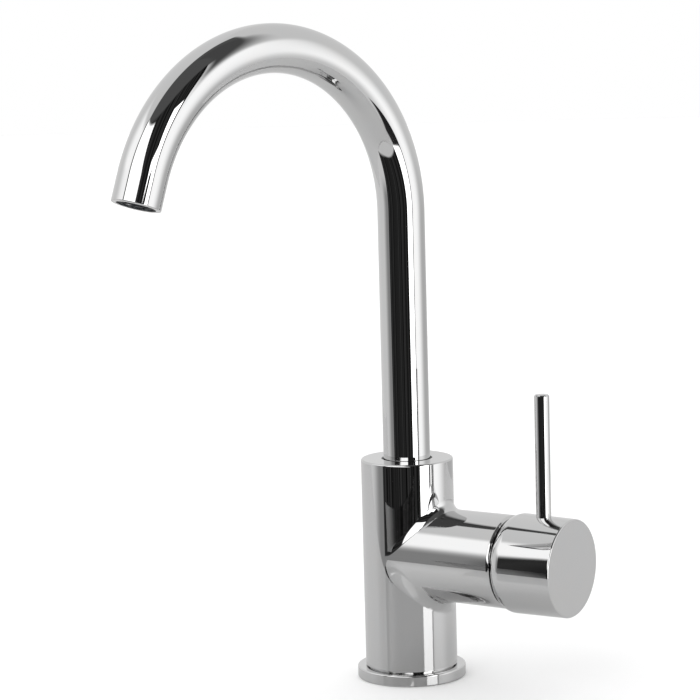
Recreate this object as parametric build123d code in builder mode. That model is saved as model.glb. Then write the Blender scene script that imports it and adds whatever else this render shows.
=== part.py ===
from build123d import *
import math
import os

os.makedirs("parts", exist_ok=True)

# Swivel spout mixer tap with a side lever, in millimetres.
# Z is up and the origin is where the column's axis meets the deck.
# The arm with the lever points along +X, and the user stands on the -Y side.

# Column and side arm: one brass body, both turned to the same diameter
column_d = 50.0
column_top_z = 120.5
column_edge_fillet = 1.0
arm_axis_z = 69.0
arm_end_x = 65.6
arm_edge_fillet = 2.0
junction_fillet = 5.5

# Foot of the column: a spigot that drops into the base flange, under a narrow shadow groove
foot_spigot_d = 38.0
shadow_neck_d = 47.0
shadow_gap = 0.7
foot_chamfer = 0.5

# Base flange and the gasket in its underside
flange_d = 59.0
flange_h = 6.2
flange_fillet = 0.8
flange_bore_clearance = 0.1
gasket_outer_d = 53.0
gasket_w = 4.0
gasket_h = 1.6

# Connections in the foot: two hose ports (M10x1) and one fixing stud hole (M8)
hose_port_x = 6.0
hose_port_d = 9.0
hose_port_depth = 12.0
stud_hole_x = -12.0
stud_hole_d = 6.8
stud_hole_depth = 18.0

# Waterways drilled in the body
riser_d = 7.0
crossway_d = 6.4
outlet_crossway_d = 5.6
outlet_riser_x = -5.0
outlet_riser_d = 9.0

# Spout: one bent tube
tube_d = 25.4
tube_wall = 1.5
tube_straight_top_z = 254.3
bend_radius = 90.1
bend_angle = 160.9
tube_tail = 14.4
tube_rim_fillet = 0.5
spout_azimuth = -103.1
tube_seat_depth = 3.5

# Swivel joint of the spout
swivel_low = -47.0
swivel_high = 73.0
spigot_d = 22.0
spigot_bore_d = 14.0
spigot_overlap = 14.0
spigot_foot_z = 86.3
socket_floor_gap = 0.3
socket_clearance = 0.05
glide_ring_d = 27.5
glide_washer_h = 1.0
glide_ring_recess = 1.0
glide_clearance = 0.05
oring_heights = (92.5, 109.0)
oring_h = 2.5
oring_depth = 1.7
oring_side_gap = 0.05
oring_clearance = 0.03
slide_band_z = 87.2
slide_band_h = 2.6
slide_band_depth = 1.0

# Screw that locks the spigot in the socket and limits its turn
lock_screw_z = 101.0
lock_screw_d = 5.0
lock_screw_len = 11.5
lock_screw_inset = 1.0
lock_dog_d = 3.5
lock_dog_reach = 1.3
lock_key_af = 2.5
lock_key_depth = 2.5
lock_slot_h = 4.0
lock_slot_depth = 1.6
lock_slot_spare = 2.0
thread_clearance = 0.05

# Hidden aerator in the end of the tube
aerator_thread_d = 20.3
aerator_recess = 1.5
aerator_h = 8.5
aerator_wall = 1.2
aerator_lip = 0.9
aerator_gasket_h = 1.6
aerator_shoulder_h = 1.5
aerator_shoulder_d = 17.0
aerator_keys = 4
aerator_key_w = 2.2
aerator_key_depth = 1.2
aerator_grid_h = 2.4
aerator_grid_inset = 0.6
grid_cell_af = 2.0
grid_cell_pitch = 2.35
grid_border = 0.6
diffuser_h = 2.0
diffuser_hole_d = 1.4
diffuser_holes = 12
diffuser_ring_r = 5.6

# Ceramic cartridge, size 35, heights measured from its seat in the arm
cartridge_d = 35.0
pocket_clearance = 0.1
pivot_x = 50.0
pivot_height = 23.5
base_flange_h = 4.0
base_h = 6.2
disc_h = 3.2
disc_film = 0.03
carrier_h = 4.95
carrier_gap = 0.3
turret_flange_h = 3.0
turret_play = 0.1
collar_d = 27.0
collar_h = 4.5
neck_d = 22.0
neck_proud = 1.0
neck_clearance = 0.05
housing_wall = 3.0
fixed_disc_d = 28.0
moving_disc_d = 22.8
chamber_clearance = 0.1
inlet_port_y = 8.5
inlet_port_z = 4.9
inlet_slot_drop = 3.4
outlet_port_z = -5.5
port_d = 5.6
port_seal_d = 8.8
port_seal_h = 1.8
mixing_pocket_d = 19.6
mixing_pocket_edge = -2.0
mixing_pocket_depth = 1.6
locating_pin_d = 3.0
locating_pin_len = 2.5
locating_pin_y = 13.6
locating_pin_clearance = 0.1

# Lever mechanism
flow_tilt = 22.0
stem_af = 7.0
stem_past_grub = 9.0
stem_hub_d = 8.0
stem_slot_clearance = 0.1
stem_swing_clearance = 0.4
stem_neck_d = 3.6
ball_d = 5.2
ball_drop = 7.7
ball_clearance = 0.1
ball_floor_gap = 0.2
carrier_flat_y = 9.0
cheek_clearance = 0.1
cheek_z = 8.0
cheek_floor_gap = 0.25
pivot_pin_d = 3.0
pivot_pin_clearance = 0.05
pivot_pin_inset = 0.5
turret_oring_h = 1.6
turret_oring_depth = 1.2
turret_oring_height = 26.4

# Nut that holds the cartridge, and the polished dome in the arm's mouth
nut_thread_d = 42.0
nut_h = 7.5
nut_bore_clearance = 0.1
nut_key_af = 32.0
nut_key_depth = 4.0
nut_runout = 2.0
dome_clearance = 0.4
dome_rim_h = 1.2
dome_wall = 2.2
dome_opening_d = 29.6
dome_skirt_wall = 2.0

# Knob: slightly conical, rounded at the back, hollowed as a ball round the dome
knob_rear_x = 66.2
knob_rim_d = 48.6
knob_rear_d = 53.2
knob_round_len = 5.6
knob_front_x = 101.9
knob_front_d = 52.16
knob_front_fillet = 0.8
stem_socket_clearance = 0.05
stem_end_gap = 0.5

# Pin lever in the knob, and the grub screw under it
pin_x = 85.0
pin_d = 8.0
pin_top_z = 160.3
pin_chamfer = 0.6
pin_seat_depth = 2.0
pin_shank_d = 6.0
pin_shank_len = 10.0
pin_clearance = 0.05
grub_d = 5.0
grub_len = 8.0
grub_key_af = 2.5
grub_key_depth = 3.0
plug_d = 6.0
plug_h = 2.5
plug_inset = 0.9

column_r = column_d / 2
flange_r = flange_d / 2
tube_r = tube_d / 2
spigot_r = spigot_d / 2
socket_r = spigot_r + socket_clearance
glide_ring_r = glide_ring_d / 2
seat_x = pivot_x - pivot_height
chamber_r = cartridge_d / 2 - housing_wall
neck_r = neck_d / 2 - neck_clearance

arm_axis = Axis((0, 0, arm_axis_z), (1, 0, 0))
arm_section = Plane(origin=(0, 0, arm_axis_z), x_dir=(1, 0, 0), z_dir=(0, -1, 0))
arm_plane = Plane(origin=(0, 0, arm_axis_z), x_dir=(0, 1, 0), z_dir=(1, 0, 0))
seat_plane = arm_plane.offset(seat_x)
pivot_plane = Plane(origin=(pivot_x, 0, arm_axis_z), x_dir=(1, 0, 0), z_dir=(0, -1, 0))

# The two hose ports, and the two inlets at the cartridge's seat, lie side by side in Y
port_sides = (-1, 1)
inlet_places = [(side * inlet_port_y, inlet_port_z) for side in port_sides]
outlet_place = (0, outlet_port_z)
outlet_height = arm_axis_z + outlet_port_z
inlet_height = arm_axis_z + inlet_port_z

# Heights of the spout's joint, from the top of the column down
tube_foot_z = column_top_z - tube_seat_depth
glide_floor_z = tube_foot_z - glide_washer_h
socket_floor_z = spigot_foot_z - socket_floor_gap


# Body: column and arm in one, with its waterways, the spout's socket and the cartridge's pocket
nut_face_x = pivot_x
pocket_r = cartridge_d / 2 + pocket_clearance

with BuildPart() as body:
    with BuildSketch(Plane.XY.offset(flange_h + shadow_gap)):
        Circle(column_r)
    extrude(amount=column_top_z - flange_h - shadow_gap)
    with BuildSketch(Plane.YZ):
        with Locations((0, arm_axis_z)):
            Circle(column_r)
    extrude(amount=arm_end_x)
    junction = body.edges().filter_by(GeomType.CIRCLE, reverse=True).filter_by(GeomType.LINE, reverse=True)
    fillet(junction, radius=junction_fillet)
    column_rim = body.edges().filter_by(GeomType.CIRCLE).group_by(Axis.Z)[-1]
    fillet(column_rim, radius=column_edge_fillet)
    arm_rim = body.edges().filter_by(GeomType.CIRCLE).group_by(Axis.X)[-1]
    fillet(arm_rim, radius=arm_edge_fillet)
    column_foot = body.edges().filter_by(GeomType.CIRCLE).group_by(Axis.Z)[0]
    chamfer(column_foot, length=foot_chamfer)
    with BuildSketch(Plane.XY.offset(flange_h)):
        Circle(shadow_neck_d / 2)
    extrude(amount=shadow_gap)
    with BuildSketch():
        Circle(foot_spigot_d / 2)
    extrude(amount=flange_h)

    # Spout socket: a wide mouth for the glide ring, then the bore for the spigot
    with BuildSketch(Plane.XY.offset(glide_floor_z)):
        Circle(glide_ring_r)
    extrude(amount=column_top_z - glide_floor_z, mode=Mode.SUBTRACT)
    with BuildSketch(Plane.XY.offset(socket_floor_z)):
        Circle(socket_r)
    extrude(amount=glide_floor_z - socket_floor_z, mode=Mode.SUBTRACT)

    # Cartridge pocket in the arm, with the nut's thread at its mouth
    with BuildSketch(seat_plane):
        Circle(pocket_r)
    extrude(amount=arm_end_x - seat_x, mode=Mode.SUBTRACT)
    with BuildSketch(arm_plane.offset(nut_face_x - nut_runout)):
        Circle(nut_thread_d / 2)
    extrude(amount=arm_end_x - nut_face_x + nut_runout, mode=Mode.SUBTRACT)
    with BuildSketch(seat_plane):
        with Locations(*[(side * locating_pin_y, 0) for side in port_sides]):
            Circle(locating_pin_d / 2 + locating_pin_clearance)
    extrude(amount=-locating_pin_len - locating_pin_clearance, mode=Mode.SUBTRACT)

    # Hot and cold: up from the hose ports, then across to the cartridge's seat
    with BuildSketch():
        with Locations(*[(hose_port_x, side * inlet_port_y) for side in port_sides]):
            Circle(hose_port_d / 2)
    extrude(amount=hose_port_depth, mode=Mode.SUBTRACT)
    with BuildSketch():
        with Locations(*[(hose_port_x, side * inlet_port_y) for side in port_sides]):
            Circle(riser_d / 2)
    extrude(amount=inlet_height, mode=Mode.SUBTRACT)
    with BuildSketch(seat_plane):
        with Locations(*inlet_places):
            Circle(crossway_d / 2)
    extrude(amount=hose_port_x - seat_x, mode=Mode.SUBTRACT)

    # Mixed water: back from the seat, then up to the spout's socket
    with BuildSketch(seat_plane):
        with Locations(outlet_place):
            Circle(outlet_crossway_d / 2)
    extrude(amount=outlet_riser_x - seat_x, mode=Mode.SUBTRACT)
    with BuildSketch(Plane.XY.offset(outlet_height)):
        with Locations((outlet_riser_x, 0)):
            Circle(outlet_riser_d / 2)
    extrude(amount=socket_floor_z - outlet_height, mode=Mode.SUBTRACT)

    # Stud hole in the foot, and the hole for the lock screw in the back
    with BuildSketch():
        with Locations((stud_hole_x, 0)):
            Circle(stud_hole_d / 2)
    extrude(amount=stud_hole_depth, mode=Mode.SUBTRACT)
    with BuildSketch(Plane.XZ):
        with Locations((0, lock_screw_z)):
            Circle(lock_screw_d / 2 + thread_clearance)
    extrude(amount=-column_r, mode=Mode.SUBTRACT)
body.part.label = "body"
export_step(body.part, "parts/body.step")


# Base flange: a turned ring, with a groove for the gasket
with BuildPart() as base_flange:
    with BuildSketch():
        Circle(flange_r)
        Circle(foot_spigot_d / 2 + flange_bore_clearance, mode=Mode.SUBTRACT)
    extrude(amount=flange_h)
    rims = base_flange.edges().filter_by(GeomType.CIRCLE).group_by(SortBy.RADIUS)[-1]
    fillet(rims, radius=flange_fillet)
    with BuildSketch():
        Circle(gasket_outer_d / 2)
        Circle(gasket_outer_d / 2 - gasket_w, mode=Mode.SUBTRACT)
    extrude(amount=gasket_h, mode=Mode.SUBTRACT)
base_flange.part.label = "base_flange"
export_step(base_flange.part, "parts/base_flange.step")

with BuildPart() as base_gasket:
    with BuildSketch():
        Circle(gasket_outer_d / 2)
        Circle(gasket_outer_d / 2 - gasket_w, mode=Mode.SUBTRACT)
    extrude(amount=gasket_h)
base_gasket.part.label = "base_gasket"
export_step(base_gasket.part, "parts/base_gasket.step")


# Spout tube: up, over in one bend, and a short straight tail with the aerator's thread
spout_dir = Vector(math.cos(math.radians(spout_azimuth)), math.sin(math.radians(spout_azimuth)), 0)
spout_side = Vector(spout_dir.Y, -spout_dir.X, 0)
spout_section = Plane(origin=(0, 0, 0), x_dir=spout_dir, z_dir=spout_side)
aerator_bore_depth = aerator_recess + aerator_h + aerator_gasket_h
threaded_end = aerator_bore_depth + aerator_shoulder_h
tube_bore_r = tube_r - tube_wall

with BuildPart() as spout_tube:
    with BuildLine(spout_section):
        Line((0, tube_foot_z), (0, tube_straight_top_z))
        bend = CenterArc((bend_radius, tube_straight_top_z), bend_radius, 180, -bend_angle)
        tail = Line(bend @ 1, bend @ 1 + (bend % 1) * tube_tail)
    with BuildSketch(Plane.XY.offset(tube_foot_z)):
        Circle(tube_r)
    sweep()
    with BuildLine(spout_section) as bore_path:
        Line((0, tube_foot_z), (0, tube_straight_top_z))
        CenterArc((bend_radius, tube_straight_top_z), bend_radius, 180, -bend_angle)
        Line(bend @ 1, bend @ 1 + (bend % 1) * (tube_tail - threaded_end))
    with BuildSketch(Plane.XY.offset(tube_foot_z)):
        Circle(tube_bore_r)
    sweep(path=bore_path.wires()[0], mode=Mode.SUBTRACT)
    outlet_plane = Plane(origin=tail @ 1, x_dir=spout_side, z_dir=tail % 1)
    rim = spout_tube.faces().filter_by(GeomType.PLANE).sort_by(Axis.Z)[-1].edges()
    fillet(rim, radius=tube_rim_fillet)
    with BuildSketch(outlet_plane):
        Circle(aerator_shoulder_d / 2)
    extrude(amount=-threaded_end, mode=Mode.SUBTRACT)
    with BuildSketch(outlet_plane):
        Circle(aerator_thread_d / 2)
    extrude(amount=-aerator_bore_depth, mode=Mode.SUBTRACT)
spout_tube.part.label = "spout_tube"
export_step(spout_tube.part, "parts/spout_tube.step")


# Spigot: turned brass, brazed into the foot of the tube, with grooves for seals, band and lock screw
screw_side = 90.0
lock_slot_floor = spigot_r - lock_slot_depth
slot_margin = math.degrees(math.asin(lock_dog_d / 2 / lock_slot_floor)) + lock_slot_spare
slot_start = screw_side - swivel_high - slot_margin
slot_arc = swivel_high - swivel_low + 2 * slot_margin
slot_plane = Plane(
    origin=(0, 0, 0),
    x_dir=(math.cos(math.radians(slot_start)), math.sin(math.radians(slot_start)), 0),
    z_dir=(math.sin(math.radians(slot_start)), -math.cos(math.radians(slot_start)), 0),
)

with BuildPart() as spout_spigot:
    with BuildSketch(Plane.XY.offset(spigot_foot_z)):
        Circle(spigot_r)
    extrude(amount=tube_foot_z - spigot_foot_z)
    with BuildSketch(Plane.XY.offset(tube_foot_z)):
        Circle(tube_bore_r)
    extrude(amount=spigot_overlap)
    with BuildSketch(Plane.XY.offset(spigot_foot_z)):
        Circle(spigot_bore_d / 2)
    extrude(amount=tube_foot_z + spigot_overlap - spigot_foot_z, mode=Mode.SUBTRACT)
    with BuildSketch(Plane.XZ):
        for height in oring_heights:
            with Locations((spigot_r, height)):
                Rectangle(2 * oring_depth, oring_h + 2 * oring_side_gap)
        with Locations((spigot_r, slide_band_z + slide_band_h / 2)):
            Rectangle(2 * slide_band_depth, slide_band_h + 2 * oring_side_gap)
    revolve(axis=Axis.Z, mode=Mode.SUBTRACT)
    with BuildSketch(slot_plane):
        with Locations((spigot_r, lock_screw_z)):
            Rectangle(2 * lock_slot_depth, lock_slot_h)
    revolve(axis=Axis.Z, revolution_arc=slot_arc, mode=Mode.SUBTRACT)
spout_spigot.part.label = "spout_spigot"
export_step(spout_spigot.part, "parts/spout_spigot.step")

# O-rings, squeezed flat between groove and socket
for name, height in zip(("lower_o_ring", "upper_o_ring"), oring_heights):
    with BuildPart() as o_ring:
        with BuildSketch(Plane.XY.offset(height - oring_h / 2)):
            Circle(socket_r - oring_clearance)
            Circle(spigot_r - oring_depth, mode=Mode.SUBTRACT)
        extrude(amount=oring_h)
    o_ring.part.label = name
    export_step(o_ring.part, f"parts/{name}.step")

with BuildPart() as slide_band:
    with BuildSketch(Plane.XY.offset(slide_band_z)):
        Circle(socket_r - oring_clearance)
        Circle(spigot_r - slide_band_depth, mode=Mode.SUBTRACT)
    extrude(amount=slide_band_h)
slide_band.part.label = "slide_band"
export_step(slide_band.part, "parts/slide_band.step")

# Glide ring: a plastic cup under and around the foot of the tube
with BuildPart() as glide_ring:
    with BuildSketch(Plane.XY.offset(glide_floor_z)):
        Circle(glide_ring_r)
        Circle(socket_r, mode=Mode.SUBTRACT)
    extrude(amount=glide_washer_h)
    with BuildSketch(Plane.XY.offset(tube_foot_z)):
        Circle(glide_ring_r)
        Circle(tube_r + glide_clearance, mode=Mode.SUBTRACT)
    extrude(amount=tube_seat_depth - glide_ring_recess)
glide_ring.part.label = "glide_ring"
export_step(glide_ring.part, "parts/glide_ring.step")

# Lock screw: a set screw with a dog point that runs in the spigot's slot
lock_screw_back = column_r - lock_screw_inset
lock_dog_tip = socket_r - lock_dog_reach
with BuildPart() as lock_screw:
    with BuildSketch(Plane.XZ.offset(-lock_screw_back)):
        with Locations((0, lock_screw_z)):
            Circle(lock_screw_d / 2)
    extrude(amount=lock_screw_len)
    with BuildSketch(Plane.XZ.offset(-lock_dog_tip)):
        with Locations((0, lock_screw_z)):
            Circle(lock_dog_d / 2)
    extrude(amount=-(lock_screw_back - lock_screw_len - lock_dog_tip))
    with BuildSketch(Plane.XZ.offset(-lock_screw_back)):
        with Locations((0, lock_screw_z)):
            RegularPolygon(lock_key_af / 2, 6, major_radius=False)
    extrude(amount=lock_key_depth, mode=Mode.SUBTRACT)
lock_screw.part.label = "lock_screw"
export_step(lock_screw.part, "parts/lock_screw.step")


# Aerator: a threaded shell that hides in the tube, with a honeycomb at its mouth
shell_r = aerator_thread_d / 2 - thread_clearance
shell_bore_r = shell_r - aerator_wall
mouth_plane = outlet_plane.offset(-aerator_recess)
grid_plane = mouth_plane.offset(-aerator_grid_inset)
grid_reach = shell_bore_r - grid_border - grid_cell_af / math.sqrt(3)
grid_count = 2 * math.ceil(grid_reach / grid_cell_pitch) + 1

with BuildPart() as aerator_shell:
    with BuildSketch(mouth_plane):
        Circle(shell_r)
        Circle(shell_bore_r, mode=Mode.SUBTRACT)
    extrude(amount=-aerator_h)
    with BuildSketch(mouth_plane.offset(-aerator_h)):
        Circle(shell_r)
        Circle(shell_bore_r - aerator_lip, mode=Mode.SUBTRACT)
    extrude(amount=aerator_lip)
    with BuildSketch(mouth_plane):
        with PolarLocations((shell_r + shell_bore_r) / 2, aerator_keys):
            Rectangle(2 * aerator_wall, aerator_key_w)
    extrude(amount=-aerator_key_depth, mode=Mode.SUBTRACT)
aerator_shell.part.label = "aerator_shell"
export_step(aerator_shell.part, "parts/aerator_shell.step")

with BuildPart() as aerator_grid:
    with BuildSketch(grid_plane):
        Circle(shell_bore_r)
        with HexLocations(grid_cell_pitch / 2, grid_count, grid_count) as cells:
            places = [place for place in cells.local_locations if place.position.length < grid_reach]
        with Locations(*places):
            RegularPolygon(grid_cell_af / 2, 6, major_radius=False, rotation=30, mode=Mode.SUBTRACT)
    extrude(amount=-aerator_grid_h)
aerator_grid.part.label = "aerator_grid"
export_step(aerator_grid.part, "parts/aerator_grid.step")

with BuildPart() as aerator_diffuser:
    with BuildSketch(mouth_plane.offset(-aerator_h + aerator_lip)):
        Circle(shell_bore_r)
        with PolarLocations(diffuser_ring_r, diffuser_holes):
            Circle(diffuser_hole_d / 2, mode=Mode.SUBTRACT)
    extrude(amount=diffuser_h)
aerator_diffuser.part.label = "aerator_diffuser"
export_step(aerator_diffuser.part, "parts/aerator_diffuser.step")

with BuildPart() as aerator_gasket:
    with BuildSketch(mouth_plane.offset(-aerator_h)):
        Circle(shell_r)
        Circle(aerator_shoulder_d / 2, mode=Mode.SUBTRACT)
    extrude(amount=-aerator_gasket_h)
aerator_gasket.part.label = "aerator_gasket"
export_step(aerator_gasket.part, "parts/aerator_gasket.step")


# Cartridge, in the order of its stack from the seat outwards
moving_disc_floor = base_h + disc_h + disc_film
carrier_floor = moving_disc_floor + disc_h
carrier_top = carrier_floor + carrier_h
turret_floor = carrier_top + carrier_gap
shoulder_floor = turret_floor + turret_flange_h + turret_play
shoulder_top = pivot_height
neck_top = shoulder_top + collar_h + neck_proud
flow_travel = ball_drop * math.sin(math.radians(flow_tilt))

with BuildPart() as cartridge_base:
    with BuildSketch(seat_plane):
        Circle(cartridge_d / 2)
    extrude(amount=base_flange_h)
    with BuildSketch(seat_plane.offset(base_flange_h)):
        Circle(chamber_r - chamber_clearance)
    extrude(amount=base_h - base_flange_h)
    with BuildSketch(seat_plane):
        with Locations(*inlet_places, outlet_place):
            Circle(port_d / 2)
    extrude(amount=base_h, mode=Mode.SUBTRACT)
    for floor in (0, base_h - port_seal_h):
        with BuildSketch(seat_plane.offset(floor)):
            with Locations(*inlet_places, outlet_place):
                Circle(port_seal_d / 2)
        extrude(amount=port_seal_h, mode=Mode.SUBTRACT)
    with BuildSketch(seat_plane):
        with Locations(*[(side * locating_pin_y, 0) for side in port_sides]):
            Circle(locating_pin_d / 2)
    extrude(amount=-locating_pin_len)
cartridge_base.part.label = "cartridge_base"
export_step(cartridge_base.part, "parts/cartridge_base.step")

# Rubber rings round the three ports, below the base and between base and disc
for name, floor in (("seat_seals", 0), ("disc_seals", base_h - port_seal_h)):
    with BuildPart() as seals:
        with BuildSketch(seat_plane.offset(floor)):
            with Locations(*inlet_places, outlet_place):
                Circle(port_seal_d / 2)
                Circle(port_d / 2, mode=Mode.SUBTRACT)
        extrude(amount=port_seal_h)
    seals.part.label = name
    export_step(seals.part, f"parts/{name}.step")

with BuildPart() as cartridge_housing:
    with BuildSketch(seat_plane.offset(base_flange_h)):
        Circle(cartridge_d / 2)
    extrude(amount=shoulder_top - base_flange_h)
    with BuildSketch(seat_plane.offset(shoulder_top)):
        Circle(collar_d / 2)
    extrude(amount=collar_h)
    with BuildSketch(seat_plane.offset(base_flange_h)):
        Circle(chamber_r)
    extrude(amount=shoulder_floor - base_flange_h, mode=Mode.SUBTRACT)
    with BuildSketch(seat_plane.offset(shoulder_floor)):
        Circle(neck_d / 2)
    extrude(amount=shoulder_top + collar_h - shoulder_floor, mode=Mode.SUBTRACT)
cartridge_housing.part.label = "cartridge_housing"
export_step(cartridge_housing.part, "parts/cartridge_housing.step")

# Fixed ceramic disc: two upright inlet slots and the round outlet
with BuildPart() as fixed_disc:
    with BuildSketch(seat_plane.offset(base_h)):
        Circle(fixed_disc_d / 2)
        with Locations(*[(side * inlet_port_y, inlet_port_z - inlet_slot_drop / 2) for side in port_sides]):
            SlotCenterToCenter(inlet_slot_drop, port_d, rotation=90, mode=Mode.SUBTRACT)
        with Locations(outlet_place):
            Circle(port_d / 2, mode=Mode.SUBTRACT)
    extrude(amount=disc_h)
fixed_disc.part.label = "fixed_disc"
export_step(fixed_disc.part, "parts/fixed_disc.step")

# Moving ceramic disc: a blind pocket in its face joins the inlets to the outlet
with BuildPart() as moving_disc:
    with BuildSketch(seat_plane.offset(moving_disc_floor)):
        Circle(moving_disc_d / 2)
    extrude(amount=disc_h)
    with BuildSketch(seat_plane.offset(moving_disc_floor)):
        Circle(mixing_pocket_d / 2)
        with Locations((0, mixing_pocket_edge + mixing_pocket_d)):
            Rectangle(2 * mixing_pocket_d, 2 * mixing_pocket_d, mode=Mode.SUBTRACT)
    extrude(amount=mixing_pocket_depth, mode=Mode.SUBTRACT)
moving_disc.part.label = "moving_disc"
export_step(moving_disc.part, "parts/moving_disc.step")

# Disc carrier: slides between the turret's cheeks, pushed by the stem's ball
ball_height = pivot_height - ball_drop
ball_pocket_floor = ball_height - ball_d / 2 - ball_floor_gap
with BuildPart() as disc_carrier:
    with BuildSketch(seat_plane.offset(carrier_floor)):
        Circle(moving_disc_d / 2)
        Rectangle(2 * carrier_flat_y, moving_disc_d, mode=Mode.INTERSECT)
    extrude(amount=carrier_h)
    with BuildSketch(seat_plane.offset(ball_pocket_floor)):
        Circle(ball_d / 2 + ball_clearance)
    extrude(amount=carrier_top - ball_pocket_floor, mode=Mode.SUBTRACT)
disc_carrier.part.label = "disc_carrier"
export_step(disc_carrier.part, "parts/disc_carrier.step")

# Turret: turns with the lever, carries the pivot pin, and guides the carrier with two cheeks
swing_low = -(neck_top - pivot_height) * math.tan(math.radians(flow_tilt))
swing_low -= stem_af / 2 / math.cos(math.radians(flow_tilt)) + stem_swing_clearance
swing_high = flow_travel + ball_d / 2 + stem_swing_clearance
cheek_inner_y = carrier_flat_y + cheek_clearance
cheek_floor = carrier_floor + cheek_floor_gap
turret_r = chamber_r - chamber_clearance
with BuildPart() as turret:
    with BuildSketch(seat_plane.offset(turret_floor)):
        Circle(turret_r)
    extrude(amount=turret_flange_h)
    with BuildSketch(seat_plane.offset(turret_floor)):
        Circle(neck_r)
    extrude(amount=neck_top - turret_floor)
    with BuildSketch(seat_plane.offset(cheek_floor)):
        Circle(turret_r)
        Rectangle(2 * turret_r, 2 * cheek_z, mode=Mode.INTERSECT)
        Rectangle(2 * cheek_inner_y, 2 * turret_r, mode=Mode.SUBTRACT)
    extrude(amount=turret_floor - cheek_floor)
    with BuildSketch(seat_plane.offset(turret_floor)):
        with Locations((0, (swing_low + swing_high) / 2)):
            Rectangle(stem_af + 2 * stem_slot_clearance, swing_high - swing_low)
    extrude(amount=neck_top - turret_floor, mode=Mode.SUBTRACT)
    with BuildSketch(pivot_plane):
        Circle(pivot_pin_d / 2)
    extrude(amount=neck_r, both=True, mode=Mode.SUBTRACT)
    with BuildSketch(seat_plane.offset(turret_oring_height - turret_oring_h / 2)):
        Circle(neck_r)
        Circle(neck_r - turret_oring_depth, mode=Mode.SUBTRACT)
    extrude(amount=turret_oring_h, mode=Mode.SUBTRACT)
turret.part.label = "turret"
export_step(turret.part, "parts/turret.step")

with BuildPart() as turret_o_ring:
    with BuildSketch(seat_plane.offset(turret_oring_height - turret_oring_h / 2)):
        Circle(neck_d / 2 - oring_clearance)
        Circle(neck_r - turret_oring_depth, mode=Mode.SUBTRACT)
    extrude(amount=turret_oring_h)
turret_o_ring.part.label = "turret_o_ring"
export_step(turret_o_ring.part, "parts/turret_o_ring.step")

with BuildPart() as pivot_pin:
    with BuildSketch(pivot_plane):
        Circle(pivot_pin_d / 2)
    extrude(amount=neck_r - pivot_pin_inset, both=True)
pivot_pin.part.label = "pivot_pin"
export_step(pivot_pin.part, "parts/pivot_pin.step")

# Stem: a square bar out past the grub screw, a hub on the pivot pin, and a ball end in the carrier
stem_end_x = pin_x + stem_past_grub
with BuildPart() as stem:
    with BuildSketch(arm_plane.offset(pivot_x)):
        Rectangle(stem_af, stem_af)
    extrude(amount=stem_end_x - pivot_x)
    with BuildSketch(pivot_plane):
        Circle(stem_hub_d / 2)
    extrude(amount=stem_af / 2, both=True)
    with BuildSketch(arm_plane.offset(pivot_x)):
        Circle(stem_neck_d / 2)
    extrude(amount=-ball_drop)
    with Locations((pivot_x - ball_drop, 0, arm_axis_z)):
        Sphere(ball_d / 2)
    with BuildSketch(pivot_plane):
        Circle(pivot_pin_d / 2 + pivot_pin_clearance)
    extrude(amount=stem_af, both=True, mode=Mode.SUBTRACT)
stem.part.label = "stem"
export_step(stem.part, "parts/stem.step")


# Ring nut over the cartridge, with a hexagon for the key
with BuildPart() as cartridge_nut:
    with BuildSketch(arm_plane.offset(nut_face_x)):
        Circle(nut_thread_d / 2 - thread_clearance)
        Circle(collar_d / 2 + nut_bore_clearance, mode=Mode.SUBTRACT)
    extrude(amount=nut_h)
    with BuildSketch(arm_plane.offset(nut_face_x + nut_h)):
        RegularPolygon(nut_key_af / 2, 6, major_radius=False)
    extrude(amount=-nut_key_depth, mode=Mode.SUBTRACT)
cartridge_nut.part.label = "cartridge_nut"
export_step(cartridge_nut.part, "parts/cartridge_nut.step")

# Dome: a polished ball zone round the pivot, screwed into the arm, that the knob swings over
knob_ball_r = math.hypot(knob_rear_x - pivot_x, knob_rim_d / 2)
dome_r = knob_ball_r - dome_clearance
dome_inner_r = dome_r - dome_wall
dome_skirt_r = nut_thread_d / 2 - thread_clearance
dome_bore_r = dome_skirt_r - dome_skirt_wall
dome_rim_x = arm_end_x + dome_rim_h
dome_rim_r = math.sqrt(dome_r ** 2 - (dome_rim_x - pivot_x) ** 2)
rim_angle = math.degrees(math.atan2(dome_rim_r, dome_rim_x - pivot_x))
opening_angle = math.degrees(math.asin(dome_opening_d / 2 / dome_r))
inner_rim_angle = math.degrees(math.asin(dome_bore_r / dome_inner_r))
inner_opening_angle = math.degrees(math.asin(dome_opening_d / 2 / dome_inner_r))

with BuildPart() as dome:
    with BuildSketch(arm_section):
        with BuildLine():
            outside = CenterArc((pivot_x, 0), dome_r, rim_angle, opening_angle - rim_angle)
            inside = CenterArc((pivot_x, 0), dome_inner_r, inner_opening_angle,
                               inner_rim_angle - inner_opening_angle)
            Line(outside @ 1, inside @ 0)
            Polyline(
                inside @ 1,
                (nut_face_x + nut_h, dome_bore_r),
                (nut_face_x + nut_h, dome_skirt_r),
                (arm_end_x, dome_skirt_r),
                (arm_end_x, dome_rim_r),
                outside @ 0,
            )
        make_face()
    revolve(axis=arm_axis)
dome.part.label = "dome"
export_step(dome.part, "parts/dome.step")


# Knob: turned from solid, with the ball-shaped hollow, the stem's square and the holes for pin and screw
knob_round_end = (knob_rear_x + knob_round_len, knob_rear_d / 2)
knob_taper = (knob_rear_d - knob_front_d) / 2 / (knob_front_x - knob_round_end[0])
knob_rim_angle = math.degrees(math.atan2(knob_rim_d / 2, knob_rear_x - pivot_x))
pin_foot_z = arm_axis_z + knob_rear_d / 2 - pin_seat_depth
knob_r_at_pin = knob_rear_d / 2 - knob_taper * (pin_x - knob_round_end[0])
plug_face_z = arm_axis_z - knob_r_at_pin + plug_inset
grub_tip_z = arm_axis_z - stem_af / 2
pin_plane = Plane.XY.offset(pin_foot_z)

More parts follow.
